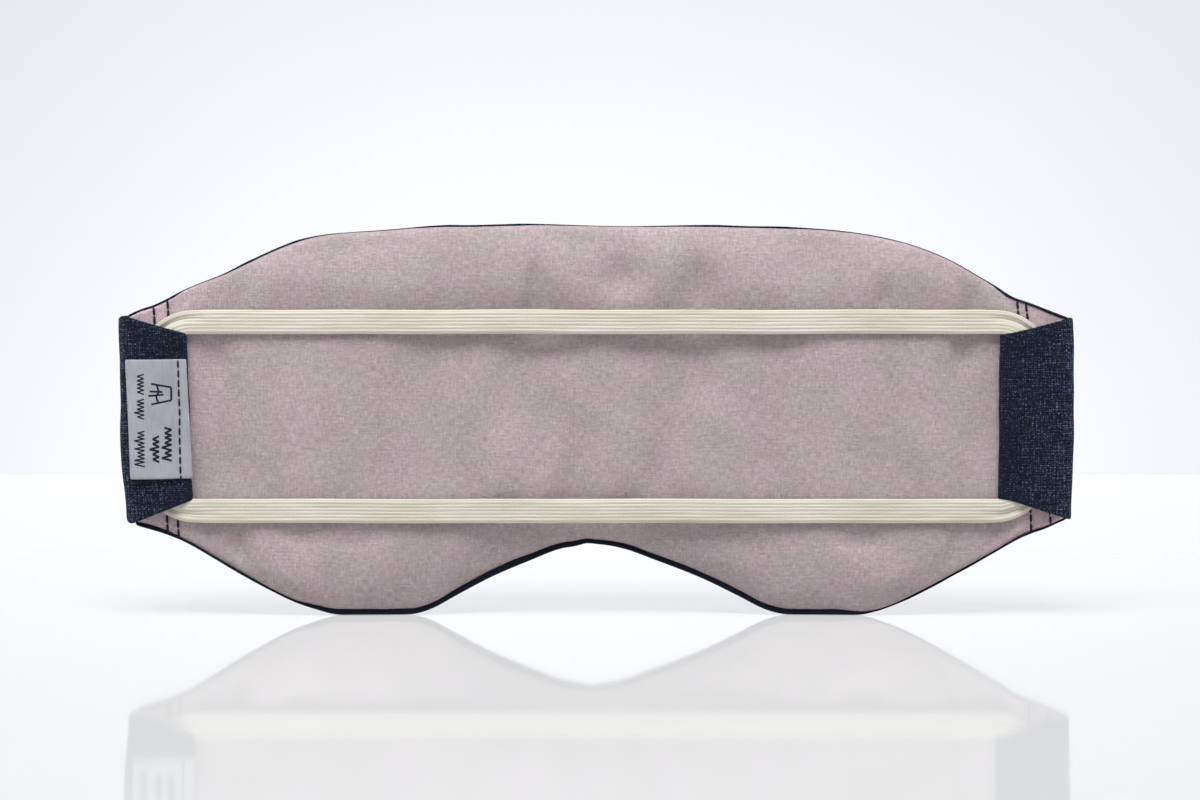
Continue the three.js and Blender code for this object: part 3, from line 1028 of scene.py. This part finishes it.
TURN_X = {"left": 97, "right": 95}  # where the elastic starts to turn down into a casing
TURN_RADIUS = 10.5
TURN_SPLIT = math.radians(62)  # the runs end and the hidden turns begin at this much of the corner


def elastic_section():
    """Half thicknesses across the elastic, with a low round rib for each cord."""
    across = np.linspace(-1, 1, 4 * RIBS + 1)
    ribs = np.abs(np.sin(across * RIBS * math.pi / 2))
    edge = np.sqrt(np.clip(1 - np.abs(across) ** 8, 0, 1))
    return across * ELASTIC_WIDTH / 2, (0.36 + 0.14 * ribs) * (0.35 + 0.65 * edge)


def elastic_shell(name, centre, across_way, along, curl):
    """A ribbed band along a line, with a unit direction across it at each point. Where it curls, it buckles:
    a valley runs along it, and its outer side leans back."""
    widths, halves = elastic_section()
    w = np.repeat(widths[None, :], len(centre), 0)
    curl = curl[:, None]
    narrowed = w * (1 - 0.12 * curl * (w > 0))
    middle = centre[:, None] + across_way[:, None] * narrowed[..., None]
    middle[..., 1] += curl * (0.9 * bump(w, 0.9, 0.8) + 0.35 * smoothstep(w, 1, 2.5))
    offset = normals(middle) * halves[:, None]
    uv = np.stack([columns(along, len(widths)), w], -1)
    return shell(name, middle + offset, middle - offset, uv, CREAM, sharp=True)


def band_line(side, up, x, z, angle):
    """The elastic's centre line, and its direction across where it has turned by an angle from its run."""
    centre = np.stack([x * SIDES[side], STRAP_Y + 0 * x, z], -1)
    return centre, np.stack([np.sin(angle) * SIDES[side], 0 * x, np.cos(angle) * up], -1)


def make_run(side, place):
    """Half a run of the elastic, from the middle out and round the first part of its corner."""
    up, height = {"upper": (1, UPPER_Z), "lower": (-1, LOWER_Z)}[place]
    turn_x = TURN_X[side]
    straight = np.linspace(0, turn_x, 66)
    angle = np.concatenate([0 * straight, np.linspace(0, TURN_SPLIT, 13)[1:]])
    x = np.concatenate([straight, turn_x + TURN_RADIUS * np.sin(angle[len(straight):])])
    z = height - up * TURN_RADIUS * (1 - np.cos(angle))
    z = z + wander(x * SIDES[side], 37 + up, (90, 41), 0.12) * (1 - smoothstep(x, 60, 96))
    centre, across = band_line(side, up, x, z, angle)
    along = distances(centre) * SIDES[side]
    curl = smoothstep(x, turn_x - 5, turn_x + 7)
    if SIDES[side] * up < 0:
        centre, across, along, curl = (a[::-1] for a in (centre, across, along, curl))
    piece = elastic_shell(f"elastic_{place}_{side}_half", centre, across, along, curl)
    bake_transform(piece)
    if side == "left":
        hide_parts(f"elastic_{place}_run")


def make_turn(side):
    """The hidden part of the elastic, down its casing from one run to the other."""
    angles = np.linspace(TURN_SPLIT, math.pi / 2, 6)
    drop = TURN_RADIUS * (1 - np.cos(angles))
    x = TURN_X[side] + TURN_RADIUS * np.sin(angles)
    inside = np.linspace(UPPER_Z - TURN_RADIUS, LOWER_Z + TURN_RADIUS, 14)[1:-1]
    z = np.concatenate([UPPER_Z - drop, inside, (LOWER_Z + drop)[::-1]])
    x = np.concatenate([x, 0 * inside + TURN_X[side] + TURN_RADIUS, x[::-1]])
    angle = np.concatenate([angles, 0 * inside + math.pi / 2, math.pi - angles[::-1]])
    centre, across = band_line(side, 1, x, z, angle)
    along = distances(centre)
    curl = 1 - smoothstep(np.minimum(along, along[-1] - along), 2, 14)
    if side == "left":
        centre, across, along, curl = (a[::-1] for a in (centre, across, along, curl))
    piece = elastic_shell(f"{side}_elastic_turn_band", centre, across, along, curl)
    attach(piece, "mask")
    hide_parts(f"{side}_elastic_turn")


# The care label

LABEL_THICK = 0.25
LABEL_OUT = (97.6, 112.0)  # its sewn edge and its free edge


def make_label(casing):
    """One piece of tape, flat where it is sewn and lifting off the casing towards its free corners."""
    sewn, free = LABEL_OUT
    outs = np.array([*np.linspace(sewn, 101.2, 8), *np.linspace(102, free, 14)])
    zs = np.linspace(MARGIN_LOW[2] + 0.1, MARGIN_HIGH[2] - 0.1, 29)
    x = columns(-outs[::-1], len(zs))
    z = np.repeat(zs[None, :], len(outs), 0)
    flat = lean(np.stack([x, 0 * x, z], -1))
    flat[..., 0] += LABEL_SLANT * (MIDDLE_Z - z) * smoothstep(x, -100, -sewn)
    under = surface_y(casing, flat[..., 0], flat[..., 2])
    smooth = blur(under, 2)
    smooth -= np.maximum(smooth - under, 0).max()
    loose = smoothstep(-x, 100.3, 103)
    middle_z = (MARGIN_LOW[2] + MARGIN_HIGH[2]) / 2
    corner = smoothstep(-x, 107, free) * smoothstep(np.abs(z - middle_z), 7, 14.4)
    y = (under - 0.08) * (1 - loose) + (smooth - 0.12) * loose - 0.55 * corner
    y = np.minimum(y, under - 0.08) - LABEL_THICK
    flat[..., 1] = blur(y, 0.7)
    piece = refine(cloth_shell("care_label_tape", flat, LABEL_THICK, np.stack([x, z], -1), SATIN))
    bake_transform(piece)
    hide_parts("care_label_margin", "care_label_leaf")
    return piece


def stroke(label, start, end, width):
    """The face of a flat stroke of print on the label, between two places (x, z), as a grid of points."""
    start, end = np.array(start, float), np.array(end, float)
    length = np.linalg.norm(end - start)
    side = np.array([start[1] - end[1], end[0] - start[0]]) / length * width / 2
    t = np.linspace(0, 1, max(2, int(length / 0.5) + 1))
    centre = start + (end - start) * t[:, None]
    x, z = np.moveaxis(np.stack([centre + side, centre, centre - side], 1), -1, 0)
    face = np.stack([x, surface_y(label, x, z) - 0.02, z], -1)
    if np.cross(end - start, -side) < 0:
        face = face[:, ::-1]
    return face


def make_print(name, label, strokes):
    """Strokes of print, each given as its start, its end and its width."""
    points, faces = [], []
    for start, end, width in strokes:
        outer = stroke(label, start, end, width)
        part, part_faces = shell_parts(outer, outer + np.array([0, 0.05, 0]), len(points))
        points += part.tolist()
        faces += part_faces
    piece = make_piece(name, points, faces, INK, smooth=False)
    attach(piece, "label")


def print_line(x, start, end, tall, pitch, thick, rng):
    """A blank scribble in place of writing, in words that run up the label."""
    marks = []
    z = start
    while z < end - 3 * pitch:
        low, stop = True, min(z + pitch * rng.integers(5, 11), end)
        place = (x, z)
        while z < stop:
            z += pitch / 2
            high = 0 if not low else tall * rng.choice([0.68, 0.68, 0.72, 1.0])
            low = not low
            following = (x - high, z + 0.18 * pitch * rng.random())
            marks.append((place, following, thick))
            place = following
        z += 1.4 * pitch
    return marks


def add_print(label):
    """Two lines of small scribbles, two of bolder ones, and a wash tub with a hand of three strokes."""
    rng = np.random.default_rng(4)
    lines = [
        (-108.0, 36.6, 46.6, 2.4, 0.92, 0.33), (-108.0, 47.9, 59, 2.4, 0.92, 0.33),
        (-104.6, 37.6, 45.1, 2.2, 1.2, 0.5), (-101.8, 37.9, 45.6, 2.2, 1.2, 0.5),
    ]
    words = [mark for line in lines for mark in print_line(*line, rng)]
    make_print("label_print_words", label, words)
    x0, x1, z0, z1, pen = -106.3, -101.8, 51.4, 56.3, 0.45
    tub = [((x1, z0 + 0.9), (x1, z1 - 0.9)), ((x0, z0), (x1, z0 + 0.9)), ((x0, z1), (x1, z1 - 0.9))]
    hand = [
        ((x0 + 1.6, z0 + 0.4), (x0 + 1.1, z0 + 1.7)), ((x0 + 1.1, z0 + 1.7), (x0 + 1.7, z0 + 3)),
        ((x0 + 1.7, z0 + 3), (x0 + 1.3, z1 - 0.4)),
        ((x0 - 0.7, z0 + 2.0), (x0 + 2.8, z0 + 2.3)), ((x0 - 0.4, z0 + 3.1), (x0 + 2.6, z0 + 2.9)),
    ]
    make_print("label_print_wash_tub", label, [(start, end, pen) for start, end in tub + hand])


# Everything that isn't the mask

def flat_square(name, corners, material):
    """A flat piece between four corners, in metres."""
    return make_piece(name, np.array(corners) / MM, [[0, 1, 2, 3]], material, smooth=False)


def make_stage():
    """A table whose far edge shows behind the mask, and a wall some way behind it."""
    near_y, edge_y, wall_y = -2, 0.39, 1.9
    corners = [(-2, near_y, 0), (2, near_y, 0), (2, edge_y, 0), (-2, edge_y, 0)]
    table = flat_square("table_top", corners, floor_material())
    thick = table.modifiers.new("thickness", "SOLIDIFY")
    thick.thickness, thick.offset = 0.03, -1
    rounding = table.modifiers.new("edges", "BEVEL")
    rounding.width, rounding.segments = 0.003, 3
    corners = [(-4, wall_y, -1.5), (4, wall_y, -1.5), (4, wall_y, 3), (-4, wall_y, 3)]
    wall = flat_square("wall", corners, wall_material())


def aim(thing, place, target):
    thing.location = place
    thing.rotation_euler = (Vector(target) - Vector(place)).to_track_quat("-Z", "Y").to_euler()


def area_light(name, place, size, power, target=(0, 0, 0.05)):
    light = bpy.data.lights.new(name, "AREA")
    light.shape, light.size, light.size_y, light.energy = "RECTANGLE", *size, power
    aim(add_object(name, light), place, target)


def make_lights():
    area_light("overhead_softbox", (-0.1, -0.5, 1.1), (0.8, 0.5), 18)
    area_light("front_softbox", (0.2, -1.5, 0.9), (1.4, 1.0), 0.6)
    area_light("left_softbox", (-1.2, -0.9, 0.45), (0.5, 0.9), 2.2)
    area_light("right_softbox", (1.2, -0.9, 0.45), (0.5, 0.9), 1.5)
    area_light("wall_wash", (0, 0.75, -0.3), (1.6, 0.4), 14.6, (0, 1.9, 0.1))
    world = bpy.data.worlds.new("pale_room")
    world.use_nodes = True
    background = world.node_tree.nodes["Background"]
    background.inputs[0].default_value = (0.93, 0.95, 1.0, 1)
    background.inputs[1].default_value = 0.19
    bpy.context.scene.world = world


def make_camera():
    """Level with the mask and a little above it, so far off that the frame is 288 mm wide at the mask."""
    data = bpy.data.cameras.new("camera")
    data.lens, data.sensor_width = 85, 36
    view_width, centre_z, rise = 0.288, 0.0520, math.radians(3.5)
    distance = view_width / data.sensor_width * data.lens
    camera = add_object("camera", data)
    target = (0.0002, 0, centre_z)
    place = (target[0], -distance * math.cos(rise), centre_z + distance * math.sin(rise))
    aim(camera, place, target)
    bpy.context.scene.camera = camera


def finish_cad_threads():
    """The CAD nodes that stay: the rim's seam threads and the elastic's join, all inside the mask."""
    for name in ("upper_seam_thread", "lower_seam_thread", "elastic_join_zigzag"):
        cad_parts[name].data.materials[0] = THREAD
    lap = thread_material("cream_lapped_elastic", (0.6, 0.57, 0.48), (0.74, 0.71, 0.62))
    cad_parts["elastic_join_lap"].data.materials[0] = lap


def build():
    pad = Pad(*simulate_pad())
    lining = make_lining(pad)
    front = make_front(pad)
    make_wool(pad)
    for side in SIDES:
        casing = make_casing(side)
        label = make_label(casing) if side == "left" else None
        if label is not None:
            add_print(label)
        make_hem_row(side, casing, label)
        make_end_rows(side, lining, front)
        make_turn(side)
        for place in ("upper", "lower"):
            make_run(side, place)
    finish_cad_threads()


bpy.context.scene.view_settings.view_transform = "Standard"
make_camera()
make_lights()
make_stage()
build()
